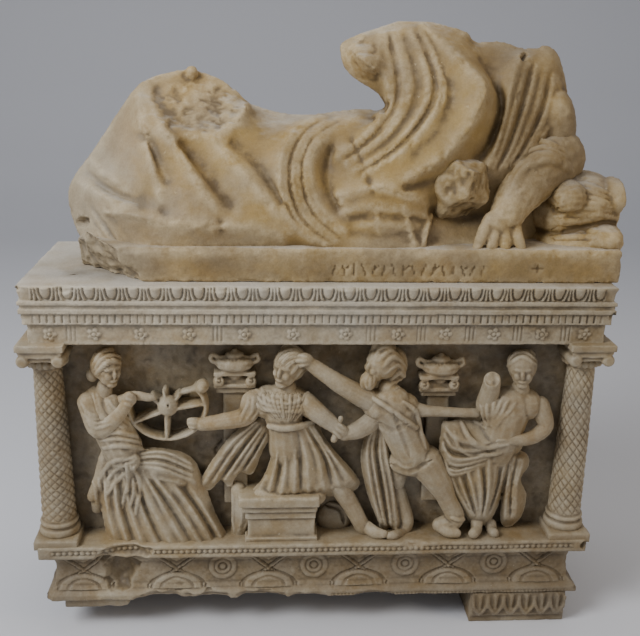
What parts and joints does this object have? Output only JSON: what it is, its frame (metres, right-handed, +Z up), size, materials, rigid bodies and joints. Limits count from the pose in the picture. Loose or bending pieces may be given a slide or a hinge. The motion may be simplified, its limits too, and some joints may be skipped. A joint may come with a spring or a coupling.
{
  "type": "stone sarcophagus",
  "caption": "Oblong stone burial chest with a carved relief front and corner columns, and a lid with a headless reclining draped figure.",
  "frame": {"origin": "under the middle of the chest, at the level of the feet's undersides", "axes": "+X to the right along the carved front, +Y from the carved front to the plain back, +Z up"},
  "size_m": [0.7425, 0.2345, 0.7842],
  "materials": {
    "chest_stone": "weathered alabaster, greyish cream with dark soil in the hollows",
    "lid_stone": "weathered alabaster, golden ochre with pale fold crests"
  },
  "bodies": {
    "root": {"chest": "chest_stone", "lid": "lid_stone"}
  },
  "joints": []
}
